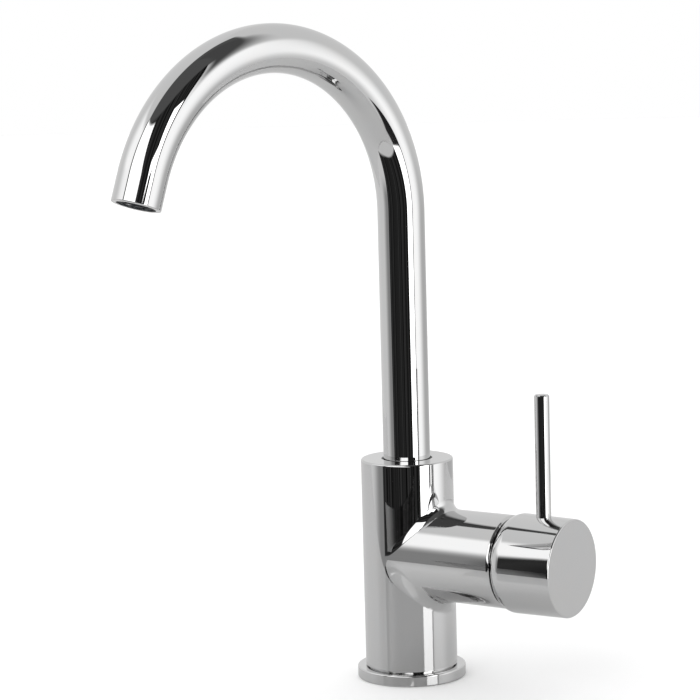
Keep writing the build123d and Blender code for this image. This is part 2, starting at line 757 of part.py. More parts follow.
with BuildPart() as knob:
    with BuildSketch(arm_section):
        with BuildLine():
            hollow = CenterArc((pivot_x, 0), knob_ball_r, 0, knob_rim_angle)
            TangentArc(knob_round_end, hollow @ 1, tangent=(-1, knob_taper))
            Polyline(
                knob_round_end,
                (knob_front_x, knob_front_d / 2),
                (knob_front_x, 0),
                hollow @ 0,
            )
        make_face()
    revolve(axis=arm_axis)
    front_rim = knob.edges().filter_by(GeomType.CIRCLE).group_by(Axis.X)[-1]
    fillet(front_rim, radius=knob_front_fillet)
    with BuildSketch(arm_plane.offset(stem_end_x + stem_end_gap)):
        Rectangle(stem_af + 2 * stem_socket_clearance, stem_af + 2 * stem_socket_clearance)
    extrude(amount=knob_rear_x - stem_end_x, mode=Mode.SUBTRACT)
    with BuildSketch(pin_plane):
        with Locations((pin_x, 0)):
            Circle(pin_d / 2 + pin_clearance)
    extrude(amount=2 * pin_seat_depth, mode=Mode.SUBTRACT)
    with BuildSketch(pin_plane):
        with Locations((pin_x, 0)):
            Circle(pin_shank_d / 2 + thread_clearance)
    extrude(amount=-pin_shank_len - pin_chamfer, mode=Mode.SUBTRACT)
    with BuildSketch(Plane.XY.offset(plug_face_z + plug_h)):
        with Locations((pin_x, 0)):
            Circle(plug_d / 2 + pin_clearance)
    extrude(amount=-2 * plug_h, mode=Mode.SUBTRACT)
    with BuildSketch(Plane.XY.offset(grub_tip_z)):
        with Locations((pin_x, 0)):
            Circle(grub_d / 2 + thread_clearance)
    extrude(amount=plug_face_z - grub_tip_z, mode=Mode.SUBTRACT)
knob.part.label = "knob"
export_step(knob.part, "parts/knob.step")

with BuildPart() as pin_lever:
    with BuildSketch(pin_plane):
        with Locations((pin_x, 0)):
            Circle(pin_d / 2)
    extrude(amount=pin_top_z - pin_foot_z)
    top_edge = pin_lever.edges().filter_by(GeomType.CIRCLE).group_by(Axis.Z)[-1]
    chamfer(top_edge, length=pin_chamfer)
    with BuildSketch(pin_plane):
        with Locations((pin_x, 0)):
            Circle(pin_shank_d / 2)
    extrude(amount=-pin_shank_len)
pin_lever.part.label = "pin_lever"
export_step(pin_lever.part, "parts/pin_lever.step")

with BuildPart() as grub_screw:
    with BuildSketch(Plane.XY.offset(grub_tip_z)):
        with Locations((pin_x, 0)):
            Circle(grub_d / 2)
    extrude(amount=-grub_len)
    with BuildSketch(Plane.XY.offset(grub_tip_z - grub_len)):
        with Locations((pin_x, 0)):
            RegularPolygon(grub_key_af / 2, 6, major_radius=False)
    extrude(amount=grub_key_depth, mode=Mode.SUBTRACT)
grub_screw.part.label = "grub_screw"
export_step(grub_screw.part, "parts/grub_screw.step")

with BuildPart() as screw_plug:
    with BuildSketch(Plane.XY.offset(plug_face_z)):
        with Locations((pin_x, 0)):
            Circle(plug_d / 2)
    extrude(amount=plug_h)
screw_plug.part.label = "screw_plug"
export_step(screw_plug.part, "parts/screw_plug.step")
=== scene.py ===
import math

import bpy
from mathutils import Euler, Matrix, Vector


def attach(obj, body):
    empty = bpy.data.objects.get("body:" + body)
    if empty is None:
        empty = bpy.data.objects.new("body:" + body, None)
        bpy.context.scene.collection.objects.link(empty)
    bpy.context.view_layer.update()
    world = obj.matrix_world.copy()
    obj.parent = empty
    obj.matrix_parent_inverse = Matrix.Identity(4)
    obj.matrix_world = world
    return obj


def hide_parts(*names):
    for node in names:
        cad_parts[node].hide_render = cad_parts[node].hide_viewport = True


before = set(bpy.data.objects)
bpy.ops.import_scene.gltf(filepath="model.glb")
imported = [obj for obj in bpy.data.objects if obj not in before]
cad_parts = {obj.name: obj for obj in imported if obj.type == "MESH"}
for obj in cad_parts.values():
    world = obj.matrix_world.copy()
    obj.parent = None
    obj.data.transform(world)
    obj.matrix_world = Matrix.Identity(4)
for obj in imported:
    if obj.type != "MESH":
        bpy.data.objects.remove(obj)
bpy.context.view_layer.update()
bpy.ops.object.select_all(action="DESELECT")

# Camera: at the photograph's angle, about 1.45 m away, to the right of the tap and a little above it.
# A long lens, square frame, with the small roll that the photograph has.
view_yaw = math.radians(34.2425)
view_pitch = math.radians(7.6382)
view_roll = math.radians(-1.534)
view_place = Vector((0.78081, -1.19917, 0.37199))

camera_data = bpy.data.cameras.new("view")
camera_data.lens = 137.496
camera_data.sensor_width = 36.0
camera = bpy.data.objects.new("view", camera_data)
bpy.context.collection.objects.link(camera)
view_turn = (Euler((math.pi / 2 - view_pitch, 0, view_yaw)).to_matrix()
             @ Matrix.Rotation(view_roll, 3, "Z"))
camera.matrix_world = Matrix.Translation(view_place) @ view_turn.to_4x4()
bpy.context.scene.camera = camera
bpy.context.scene.view_settings.view_transform = "Standard"


def add_node(tree, kind, links=(), **settings):
    """Adds a node. A link is (its input, the other node, the other's output). A setting names an input or
    an attribute, and in_2 means input number 2."""
    node = tree.nodes.new(kind)
    for name, value in settings.items():
        if hasattr(node, name):
            setattr(node, name, value)
    for name, value in settings.items():
        if not hasattr(node, name):
            socket = int(name[3:]) if name[:3] == "in_" else name.replace("_", " ")
            node.inputs[socket].default_value = value
    for socket, other, output in links:
        tree.links.new(other.outputs[output], node.inputs[socket])
    return node


# Studio: the room that the chrome mirrors. A pale tent all round, open towards the camera, where it is
# dark, with one large softbox at the camera's left, a tall strip light at its right, and a dark ceiling.
# What the camera sees directly past the floor is plain white.
camera_side = math.radians(56.93)
softbox_light = 1.9
strip_light = 3.2

world = bpy.data.worlds.new("studio")
bpy.context.scene.world = world
world.use_nodes = True
sky = world.node_tree
sky.nodes.clear()

# Directions in degrees: the turn is counted from the camera's side, positive to its right
coordinates = add_node(sky, "ShaderNodeTexCoord")
facing = add_node(sky, "ShaderNodeVectorRotate", [("Vector", coordinates, "Generated")],
                  rotation_type="Z_AXIS", Angle=camera_side)
parts = add_node(sky, "ShaderNodeSeparateXYZ", [("Vector", facing, 0)])
turn = add_node(sky, "ShaderNodeMath", [(0, parts, "Y"), (1, parts, "X")], operation="ARCTAN2")
turn_deg = add_node(sky, "ShaderNodeMath", [(0, turn, 0)], operation="MULTIPLY", in_1=math.degrees(1))
rise = add_node(sky, "ShaderNodeMath", [(0, parts, "Z")], operation="ARCSINE")
rise_deg = add_node(sky, "ShaderNodeMath", [(0, rise, 0)], operation="MULTIPLY", in_1=math.degrees(1))


def slanted(slope):
    """The rise in degrees, less that slope for each degree of turn: an edge along it runs aslant."""
    return add_node(sky, "ShaderNodeMath", [(0, turn_deg, 0), (2, rise_deg, 0)],
                    operation="MULTIPLY_ADD", in_1=-slope)


def beyond(normal):
    """How far a direction lies in front of a plane through the tap with that normal."""
    return add_node(sky, "ShaderNodeVectorMath", [(0, facing, 0)], operation="DOT_PRODUCT", in_1=normal)


def hang_panel(below, light, *edges):
    """Hangs a panel over the rest. Its light is a number or a node. An edge is (measure, where the panel
    starts to show, where it shows in full)."""
    cover = None
    for measure, start, end in edges:
        socket = "Value" if measure.type == "VECT_MATH" else 0
        edge = add_node(sky, "ShaderNodeMapRange", [("Value", measure, socket)],
                        interpolation_type="SMOOTHSTEP", From_Min=start, From_Max=end)
        if cover is None:
            cover = edge
        else:
            cover = add_node(sky, "ShaderNodeMath", [(0, cover, 0), (1, edge, 0)], operation="MULTIPLY")
    links = [("Factor", cover, 0), ("A", below, 0)]
    if isinstance(light, float):
        return add_node(sky, "ShaderNodeMix", links, data_type="FLOAT", B=light)
    return add_node(sky, "ShaderNodeMix", links + [("B", light, 0)], data_type="FLOAT")


tent = add_node(sky, "ShaderNodeMapRange", [("Value", turn_deg, 0)], interpolation_type="SMOOTHSTEP",
                From_Min=-180.0, From_Max=-60.0, To_Min=0.82, To_Max=0.78)
right_wall = hang_panel(tent, 0.56, (turn_deg, 88, 125), (turn_deg, 170, 150), (rise_deg, 5, -8))
left_glow = hang_panel(right_wall, 1.38, (turn_deg, -125, -85), (turn_deg, -55, -60), (rise_deg, 13, 27),
                       (rise_deg, 51, 44))
left_shade = hang_panel(left_glow, 0.3, (turn_deg, -97, -72), (turn_deg, -55, -60), (rise_deg, -30, -14),
                        (rise_deg, 24, 8))
right_glow = hang_panel(left_shade, 1.42, (turn_deg, 58.5, 60), (turn_deg, 112, 76), (rise_deg, -34, -8),
                        (rise_deg, 36, 22))
ceiling = hang_panel(right_glow, 0.1, (beyond((1, -0.743, 0.503)), -0.06, 0.02),
                     (beyond((1, 0.926, 0.19)), -0.05, 0.01), (rise_deg, 46, 52))
ceiling_side = hang_panel(ceiling, 0.08, (slanted(0.8), -42, -13), (turn_deg, 58, 66),
                          (turn_deg, 150, 115))

# In the dark opening stand the photographer's things, faint and upright, about 5 degrees wide each.
# Under it the table's pale skirt shows
things = add_node(sky, "ShaderNodeTexNoise", [("W", turn_deg, 0)], noise_dimensions="1D",
                  Scale=0.22, Detail=3.0)
things_light = add_node(sky, "ShaderNodeMapRange", [("Value", things, 0)], From_Min=0.4, From_Max=0.7,
                        To_Min=0.003, To_Max=0.06)
opening = hang_panel(ceiling_side, things_light, (turn_deg, -64.5, -62.5), (turn_deg, 59.5, 58.5),
                     (slanted(0.1), -40.5, -37), (rise_deg, 54, 50))
skirt = hang_panel(opening, 0.71, (turn_deg, 38, 31), (slanted(0.22), -34.2, -35.8))

softbox = hang_panel(skirt, softbox_light, (turn_deg, -59, -57), (slanted(-2.5), 24, 19),
                     (slanted(-0.24), 1, 4), (slanted(-0.09), 49, 46))
low_strip = hang_panel(softbox, strip_light, (turn_deg, 31.5, 33), (turn_deg, 56, 55),
                       (slanted(0.52), -46, -44.5), (rise_deg, 6.5, 5))
strip = hang_panel(low_strip, strip_light, (turn_deg, 42, 43.5), (turn_deg, 56, 55), (rise_deg, 3, 5),
                   (slanted(-0.55), 55.5, 54))

# The strip's white foot widens what the table top mirrors of it, and shows only from the second bounce on
ray = add_node(sky, "ShaderNodeLightPath")
bounces = add_node(sky, "ShaderNodeMath", [(0, ray, "Ray Depth")], operation="ADD", in_1=0.0)
strip_foot = hang_panel(strip, strip_light, (bounces, 1, 2), (turn_deg, 31, 33), (turn_deg, 44, 43),
                        (rise_deg, 11.2, 11.8), (rise_deg, 18, 16))
shown = add_node(sky, "ShaderNodeMix", [("Factor", ray, "Is Camera Ray"), ("A", strip_foot, 0)],
                 data_type="FLOAT", B=1.0)
backdrop = add_node(sky, "ShaderNodeBackground", [("Color", shown, 0)])
add_node(sky, "ShaderNodeOutputWorld", [("Surface", backdrop, 0)])


def tint(hex_digits):
    """Turns an sRGB colour, written as six hex digits, into the linear one that Blender reckons with."""
    parts_of_one = [int(hex_digits[place:place + 2], 16) / 255 for place in (0, 2, 4)]
    return [part / 12.92 if part <= 0.04045 else ((part + 0.055) / 1.055) ** 2.4
            for part in parts_of_one] + [1]


def start_material(name):
    """Starts an empty material, and returns it with its node tree."""
    material = bpy.data.materials.new(name)
    material.use_nodes = True
    material.node_tree.nodes.clear()
    return material, material.node_tree


# Floor: plain matt white paper. The chrome alone sees the studio's table top on it, white acrylic sheet
# with a polished face, that ends a short way in front of the tap. Over that front edge leans a flat card
# of black velvet, with painted fold shade in stripes and a painted light that greys its left end. It keeps
# the softbox out of the table's shine.
floor_radius = 6.0
table_left = -0.9
table_right = 0.4
table_front = -0.269
table_back = 0.6
table_rise = 0.0001
card_left = -0.09
card_right = 0.26
card_height = 0.059
card_lean = 0.0512
# The stripes of painted fold shade, and where the painted light on the card's left end starts and is full
fold_shade_scale = 10.0
painted_light_from = -0.2
painted_light_to = -0.44

floor_paint, paper = start_material("matt_white_paper")
paper_face = add_node(paper, "ShaderNodeBsdfPrincipled", Base_Color=tint("F3F3F3"), Roughness=0.6)
add_node(paper, "ShaderNodeOutputMaterial", [("Surface", paper_face, "BSDF")])

table_paint, acrylic = start_material("polished_acrylic_sheet")
acrylic_face = add_node(acrylic, "ShaderNodeBsdfPrincipled", Base_Color=tint("BEBEBE"), Roughness=0.04)
add_node(acrylic, "ShaderNodeOutputMaterial", [("Surface", acrylic_face, "BSDF")])

card_cloth, cloth = start_material("black_velvet")
cloth_place = add_node(cloth, "ShaderNodeTexCoord")
cloth_along = add_node(cloth, "ShaderNodeSeparateXYZ", [("Vector", cloth_place, "Object")])
# Painted shade and light of folds: the flat card is darker and lighter in stripes across it
fold_shade_noise = add_node(cloth, "ShaderNodeTexNoise", [("W", cloth_along, "X")], noise_dimensions="1D",
                       Scale=fold_shade_scale, Detail=3.0)
fold_shade_depth = add_node(cloth, "ShaderNodeMapRange", [("Value", fold_shade_noise, 0)],
                       From_Min=0.4, From_Max=0.65)
black_with_fold_shade = add_node(cloth, "ShaderNodeMix", [("Factor", fold_shade_depth, 0)], data_type="RGBA",
                       in_6=tint("050505"), in_7=tint("2C2C2C"))
# Painted light: the card turns grey towards its left end, as if lit there
painted_light_end = add_node(cloth, "ShaderNodeMapRange", [("Value", cloth_along, "X")],
                     interpolation_type="SMOOTHSTEP", From_Min=painted_light_from, From_Max=painted_light_to)
cloth_colour = add_node(cloth, "ShaderNodeMix", [("Factor", painted_light_end, 0), (6, black_with_fold_shade, 2)],
                        data_type="RGBA", in_7=tint("797979"))
cloth_face = add_node(cloth, "ShaderNodeBsdfPrincipled", [("Base Color", cloth_colour, 2)],
                      Roughness=1.0, Specular_IOR_Level=0.1)
add_node(cloth, "ShaderNodeOutputMaterial", [("Surface", cloth_face, "BSDF")])

bpy.ops.mesh.primitive_circle_add(vertices=128, radius=floor_radius, fill_type="NGON", location=(0, 0, 0))
floor = bpy.context.object
floor.name = "floor"
floor.data.materials.append(floor_paint)
floor.visible_glossy = False
floor.visible_shadow = False
bpy.ops.mesh.primitive_plane_add(size=1, location=(0, 0, 0))
table_top = bpy.context.object
table_top.name = "table_top"
table_top.scale = (table_right - table_left, table_back - table_front, 1)
table_top.location = ((table_right + table_left) / 2, (table_back + table_front) / 2, table_rise)
table_top.data.materials.append(table_paint)
bpy.ops.mesh.primitive_plane_add(size=1, location=(0, 0, 0))
card = bpy.context.object
card.name = "black_card"
card.scale = (card_right - card_left, math.hypot(card_height, card_lean), 1)
card.rotation_euler.x = math.atan2(card_height, card_lean)
card.location = ((card_right + card_left) / 2, table_front + card_lean / 2, card_height / 2)
card.data.materials.append(card_cloth)
for set_piece in (table_top, card):
    set_piece.visible_camera = False
    set_piece.visible_diffuse = False
    set_piece.visible_shadow = False

# Soft daylight from above: a very wide sun, that the chrome doesn't mirror
daylight = bpy.data.lights.new("daylight", "SUN")
daylight.energy = 2.0
daylight.angle = math.radians(120)
daylight_lamp = bpy.data.objects.new("daylight", daylight)
bpy.context.collection.objects.link(daylight_lamp)
daylight_lamp.visible_glossy = False

# Body: column and side arm are one brass casting, turned outside, with a fillet in the crotch between
# them. It is ground and buffed by hand before plating, so the fillet is drawn out softly towards both
# sides, most of all under the arm. The mouth at the top takes the spout and the arm's bore the cartridge.

# A piece's sizes are in mm, with heights from the floor and places along X from the column's axis.
# A material's sizes are in metres. Points that lie less than near apart count as one
mm = 0.001
near = 0.01
turn_steps = 256
rounding_steps = 8
hole_sides = 64
sharp_from = math.radians(30)

column_r = 25.0
column_top = 120.5
top_rounding = 1.0
foot_r = 19.0
foot_depth = 6.2
groove_r = 23.5
groove_top = 6.8
mouth_r = 13.75
mouth_floor = 116.0
mouth_rounding = 0.2
spigot_bore_r = 11.05
spigot_bore_floor = 86.0
small_rounding = 0.3

arm_end = 65.6
arm_height = 69.0
arm_rounding = 2.0
nut_bore_r = 21.0
nut_bore_floor = 48.0
cartridge_bore_r = 17.6
cartridge_seat = 26.5

hose_port_x = 6.0
hose_port_y = 8.5
hose_port_r = 4.5
hose_port_depth = 12.0
stud_hole_x = -12.0
stud_hole_r = 3.4
stud_hole_depth = 18.0
lock_hole_height = 101.0
lock_hole_start = 8.0
lock_hole_r = 2.55
lock_hole_depth = 20.0
drill_past = 1.0

wall_cut = 1.0
junction_fillet = 5.5
polish_under = 11.0
polish_over = 3.0
polish_start = 2.5
polish_fade_under = 14.0
polish_fade_over = 8.0
blend_steps = 20

# Chromium plate on nickel, on brass ground and buffed by hand. A mirror with a touch of blue, that the
# buffing left very slightly wavy over 30 mm or so, with a faint haze in patches of about 12 mm.
wave_size = 0.03
wave_depth = 0.00003
haze_size = 0.012
plate_bright = 0.02
plate_hazy = 0.045
noise_low = 0.3
noise_high = 0.7
chrome, plate = start_material("buffed_chrome_plate")
plate_place = add_node(plate, "ShaderNodeTexCoord")
plate_waves = add_node(plate, "ShaderNodeTexNoise", [("Vector", plate_place, "Object")],
                       Scale=1 / wave_size, Detail=1.0)
plate_bump = add_node(plate, "ShaderNodeBump", [("Height", plate_waves, 0)], Distance=wave_depth)
plate_haze = add_node(plate, "ShaderNodeTexNoise", [("Vector", plate_place, "Object")],
                      Scale=1 / haze_size, Detail=4.0)
plate_gloss = add_node(plate, "ShaderNodeMapRange", [("Value", plate_haze, 0)],
                       From_Min=noise_low, From_Max=noise_high, To_Min=plate_bright, To_Max=plate_hazy)
plate_colour = add_node(plate, "ShaderNodeMix", [("Factor", plate_haze, 0)], data_type="RGBA",
                        in_6=tint("D2D3D4"), in_7=tint("D5D4D3"))
plate_face = add_node(plate, "ShaderNodeBsdfPrincipled", [("Base Color", plate_colour, 2),
                      ("Roughness", plate_gloss, 0), ("Normal", plate_bump, 0)], Metallic=1.0)
add_node(plate, "ShaderNodeOutputMaterial", [("Surface", plate_face, "BSDF")])


def choose(piece, test):
    """Selects the piece's points that pass the test, and what lies between them, and ends in edit mode."""
    bpy.ops.object.mode_set(mode="EDIT")
    bpy.ops.mesh.select_mode(type="VERT")
    bpy.ops.mesh.select_all(action="DESELECT")
    bpy.ops.object.mode_set(mode="OBJECT")
    for point in piece.data.vertices:
        point.select = test(point.co)
    bpy.ops.object.mode_set(mode="EDIT")


def clean_mesh():
    """Closes the seams and poles of the piece in edit mode, and turns its faces outwards."""
    bpy.ops.mesh.select_all(action="SELECT")
    bpy.ops.mesh.remove_doubles(threshold=near * mm)
    bpy.ops.mesh.normals_make_consistent(inside=False)


def turn_piece(name, profile, centre=(0, 0, 0), lying=False):
    """Turns a piece on its axis. The profile's points are (place along the axis, radius, rounding) in mm.
    A lying piece has its axis along X."""
    bpy.ops.mesh.primitive_plane_add(size=mm, location=(0, 0, 0))
    piece = bpy.context.object
    piece.name = name
    bpy.ops.object.mode_set(mode="EDIT")
    bpy.ops.mesh.select_mode(type="VERT")
    bpy.ops.mesh.merge(type="CENTER")
    places = [Vector((along, 0, radius) if lying else (radius, 0, along)) * mm
              for along, radius, rounding in profile]
    bpy.ops.transform.translate(value=places[0])
    for place, following in zip(places, places[1:]):
        bpy.ops.mesh.extrude_vertices_move(TRANSFORM_OT_translate={"value": following - place})
    for place, (along, radius, rounding) in zip(places, profile):
        if rounding:
            choose(piece, lambda point: (point - place).length < near * mm)
            bpy.ops.mesh.bevel(affect="VERTICES", offset=rounding * mm, segments=rounding_steps)
    bpy.ops.mesh.select_all(action="SELECT")
    bpy.ops.transform.translate(value=centre)
    axis = (1, 0, 0) if lying else (0, 0, 1)
    bpy.ops.mesh.spin(steps=turn_steps, angle=math.tau, center=centre, axis=axis)
    clean_mesh()
    bpy.ops.object.mode_set(mode="OBJECT")
    return piece


def cut_holes(piece, holes):
    """Drills round holes in a piece. A hole is (centre of its far end, direction it opens to, radius,
    depth), in mm."""
    for far_end, opens_to, radius, depth in holes:
        middle = (Vector(far_end) + Vector(opens_to) * depth / 2) * mm
        tilt = Vector(opens_to).to_track_quat("Z", "Y").to_euler()
        bpy.ops.mesh.primitive_cylinder_add(vertices=hole_sides, radius=radius * mm, depth=depth * mm,
                                            location=middle, rotation=tilt)
        drill = bpy.context.object
        hole = piece.modifiers.new("hole", "BOOLEAN")
        hole.operation = "DIFFERENCE"
        hole.solver = "EXACT"
        hole.object = drill
        bpy.context.view_layer.objects.active = piece
        bpy.ops.object.modifier_apply(modifier=hole.name)
        bpy.data.objects.remove(drill)


def finish_piece(piece, material, carrier, stands_for):
    """Smooths the piece but for its sharp edges, and puts it with its material in its CAD node's place."""
    bpy.ops.object.mode_set(mode="OBJECT")
    bpy.ops.object.select_all(action="DESELECT")
    piece.select_set(True)
    bpy.context.view_layer.objects.active = piece
    bpy.ops.object.shade_smooth_by_angle(angle=sharp_from)
    flat_faces = piece.modifiers.new("flat_faces", "WEIGHTED_NORMAL")
    flat_faces.keep_sharp = True
    bpy.ops.object.modifier_apply(modifier=flat_faces.name)
    piece.data.materials.append(material)
    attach(piece, carrier)
    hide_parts(stands_for)
    bpy.ops.object.select_all(action="DESELECT")


def blend_reach(gap, side):
    """How far the blend runs past the crease, which lies that gap from the arm's middle height. The side
    is positive over the arm and negative under it."""
    soft, fade = (polish_under, polish_fade_under) if side < 0 else (polish_over, polish_fade_over)
    drawn_out = soft * (1 - math.exp(-gap / polish_start)) * math.exp(-gap / fade)
    return junction_fillet * gap / column_r + drawn_out


column_and_arm = turn_piece("column_and_arm", [
    (0, 0, 0), (0, foot_r, 0), (foot_depth, foot_r, 0), (foot_depth, groove_r, 0),
    (groove_top, groove_r, 0), (groove_top, column_r, small_rounding),
    (column_top, column_r, top_rounding), (column_top, mouth_r, mouth_rounding),
    (mouth_floor, mouth_r, 0), (mouth_floor, spigot_bore_r, 0),
    (spigot_bore_floor, spigot_bore_r, 0), (spigot_bore_floor, 0, 0)])


def is_opening(point):
    """True at the arm's side of the column's wall, at the two cuts near the arm's middle height."""
    on_wall = abs(math.hypot(point.x, point.y) - column_r * mm) < near * mm
    return on_wall and point.x > -near * mm and abs(point.z - arm_height * mm) < 2 * wall_cut * mm


# The arm's place is opened in the column's wall, and the opening's edge follows the blend
for height in (arm_height - wall_cut, arm_height + wall_cut):
    choose(column_and_arm, lambda point: point.x > -near * mm and point.xy.length > (column_r - near) * mm)
    bpy.ops.mesh.bisect(plane_co=(0, 0, height * mm), plane_no=(0, 0, 1))
choose(column_and_arm, is_opening)
bpy.ops.mesh.delete(type="ONLY_FACE")
bpy.ops.mesh.select_all(action="SELECT")
bpy.ops.mesh.delete_loose()
bpy.ops.object.mode_set(mode="OBJECT")
for point in filter(lambda point: is_opening(point.co), column_and_arm.data.vertices):
    side = math.copysign(1, point.co.z / mm - arm_height)
    crease = max(point.co.x / mm, 0)
    point.co.z = (arm_height + side * (crease + blend_reach(crease, side))) * mm
bpy.ops.object.mode_set(mode="EDIT")
clean_mesh()
bpy.ops.object.mode_set(mode="OBJECT")

arm = turn_piece("arm", [
    (0, column_r, 0), (arm_end, column_r, arm_rounding), (arm_end, nut_bore_r, small_rounding),
    (nut_bore_floor, nut_bore_r, 0), (nut_bore_floor, cartridge_bore_r, 0),
    (cartridge_seat, cartridge_bore_r, 0), (cartridge_seat, 0, 0)],
    centre=(0, 0, arm_height * mm), lying=True)
for point in filter(lambda point: abs(point.co.x) < near * mm, arm.data.vertices):
    gap = point.co.z / mm - arm_height
    point.co.x = (abs(gap) + blend_reach(abs(gap), gap)) * mm

bpy.ops.object.select_all(action="DESELECT")
arm.select_set(True)
column_and_arm.select_set(True)
bpy.context.view_layer.objects.active = column_and_arm
bpy.ops.object.join()
bridge_start = len(column_and_arm.data.vertices)
bpy.ops.object.mode_set(mode="EDIT")
bpy.ops.mesh.select_mode(type="EDGE")
bpy.ops.mesh.select_all(action="DESELECT")
bpy.ops.mesh.select_non_manifold(use_wire=False, use_multi_face=False, use_non_contiguous=False,
                                 use_verts=False)
bpy.ops.mesh.bridge_edge_loops(number_cuts=blend_steps - 1, interpolation="LINEAR")
bpy.ops.object.mode_set(mode="OBJECT")

# Each strip of the bridge becomes a quarter turn from the column's wall to the arm's
for point in column_and_arm.data.vertices[bridge_start:]:
    side = math.copysign(1, point.co.z / mm - arm_height)
    crease = math.sqrt(max(column_r ** 2 - (point.co.y / mm) ** 2, 0))
    reach = blend_reach(crease, side)
    if reach > near:
        turned = (point.co.x / mm - crease) / reach * math.pi / 2
        point.co.x = (crease + reach * (1 - math.cos(turned))) * mm
        point.co.z = (arm_height + side * (crease + reach * (1 - math.sin(turned)))) * mm
bpy.ops.object.mode_set(mode="EDIT")
clean_mesh()
bpy.ops.object.mode_set(mode="OBJECT")

# The ports of the two hoses, the stud's hole, and the hole of the lock screw in the back
cut_holes(column_and_arm, [
    ((hose_port_x, hose_port_y, hose_port_depth), (0, 0, -1), hose_port_r, hose_port_depth + drill_past),
    ((hose_port_x, -hose_port_y, hose_port_depth), (0, 0, -1), hose_port_r, hose_port_depth + drill_past),
    ((stud_hole_x, 0, stud_hole_depth), (0, 0, -1), stud_hole_r, stud_hole_depth + drill_past),
    ((0, lock_hole_start, lock_hole_height), (0, 1, 0), lock_hole_r, lock_hole_depth)])
finish_piece(column_and_arm, chrome, "body", "body")

# Flange: a turned brass ring that the column stands in, plated like it. Its rims are rounded,
# and a groove in its underside holds the rubber ring that seals it to the basin.
flange_r = 29.5
flange_top = 6.2
flange_bore_r = 19.1
flange_rounding = 0.8
gasket_groove_r = 26.5
gasket_groove_inner_r = 22.5
gasket_groove_top = 1.6
foot_flange = turn_piece("foot_flange", [
    (0, flange_bore_r, 0), (flange_top, flange_bore_r, 0), (flange_top, flange_r, flange_rounding),
    (0, flange_r, flange_rounding), (0, gasket_groove_r, 0), (gasket_groove_top, gasket_groove_r, 0),
    (gasket_groove_top, gasket_groove_inner_r, 0), (0, gasket_groove_inner_r, 0), (0, flange_bore_r, 0)])
finish_piece(foot_flange, chrome, "body", "base_flange")

# Seals: rings of nitrile rubber, moulded in a hot press: the gasket in the flange's groove, the O-rings
# of the swivel joint, and the rings in cartridge and aerator. Each is squeezed between its neighbours.


def dress(material, *node_names):
    """Gives the CAD nodes of those names their material."""
    for node_name in node_names:
        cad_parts[node_name].material_slots[0].material = material


# Matt black with a faint grey bloom in patches of 6 mm. The press's grain is finer, and drawn at 0.4 mm.
rubber_bloom_size = 0.006
rubber_grain_size = 0.0004
rubber_grain_depth = 0.00002
rubber_shiny = 0.52
rubber_matt = 0.7
rubber, rubber_tree = start_material("moulded_nitrile_rubber")
rubber_place = add_node(rubber_tree, "ShaderNodeTexCoord")
rubber_bloom = add_node(rubber_tree, "ShaderNodeTexNoise", [("Vector", rubber_place, "Object")],
                        Scale=1 / rubber_bloom_size, Detail=3.0)
rubber_colour = add_node(rubber_tree, "ShaderNodeMix", [("Factor", rubber_bloom, 0)], data_type="RGBA",
                         in_6=tint("171718"), in_7=tint("2E2E2F"))
rubber_gloss = add_node(rubber_tree, "ShaderNodeMapRange", [("Value", rubber_bloom, 0)],
                        From_Min=noise_low, From_Max=noise_high, To_Min=rubber_shiny, To_Max=rubber_matt)
rubber_grain = add_node(rubber_tree, "ShaderNodeTexNoise", [("Vector", rubber_place, "Object")],
                        Scale=1 / rubber_grain_size, Detail=2.0)
rubber_bump = add_node(rubber_tree, "ShaderNodeBump", [("Height", rubber_grain, 0)],
                       Distance=rubber_grain_depth)
rubber_face = add_node(rubber_tree, "ShaderNodeBsdfPrincipled", [("Base Color", rubber_colour, 2),
                       ("Roughness", rubber_gloss, 0), ("Normal", rubber_bump, 0)], IOR=1.52)
add_node(rubber_tree, "ShaderNodeOutputMaterial", [("Surface", rubber_face, "BSDF")])
dress(rubber, "base_gasket", "lower_o_ring", "upper_o_ring", "aerator_gasket", "seat_seals", "disc_seals",
      "turret_o_ring")

# Screws, pin and stem: stainless steel. The lock screw in the back of the column keeps the spout in, the
# grub screw clamps the knob on the square stem, and the pin is the stem's pivot.
# Turned steel: a satin grey metal with a fine rough grain, drawn at 0.25 mm, and dull patches of 3 mm.
steel_patch_size = 0.003
steel_grain_size = 0.00025
steel_grain_depth = 0.000004
steel_bright = 0.2
steel_dull = 0.36
steel, steel_tree = start_material("turned_stainless_steel")
steel_place = add_node(steel_tree, "ShaderNodeTexCoord")
steel_patches = add_node(steel_tree, "ShaderNodeTexNoise", [("Vector", steel_place, "Object")],
                         Scale=1 / steel_patch_size, Detail=3.0)
steel_colour = add_node(steel_tree, "ShaderNodeMix", [("Factor", steel_patches, 0)], data_type="RGBA",
                        in_6=tint("CBC9C4"), in_7=tint("B4B2AE"))
steel_gloss = add_node(steel_tree, "ShaderNodeMapRange", [("Value", steel_patches, 0)],
                       From_Min=noise_low, From_Max=noise_high, To_Min=steel_bright, To_Max=steel_dull)
steel_grain = add_node(steel_tree, "ShaderNodeTexNoise", [("Vector", steel_place, "Object")],
                       Scale=1 / steel_grain_size, Detail=2.0)
steel_bump = add_node(steel_tree, "ShaderNodeBump", [("Height", steel_grain, 0)],
                      Distance=steel_grain_depth)
steel_face = add_node(steel_tree, "ShaderNodeBsdfPrincipled", [("Base Color", steel_colour, 2),
                      ("Roughness", steel_gloss, 0), ("Normal", steel_bump, 0)], Metallic=1.0)
add_node(steel_tree, "ShaderNodeOutputMaterial", [("Surface", steel_face, "BSDF")])
dress(steel, "lock_screw", "grub_screw", "pivot_pin", "stem")

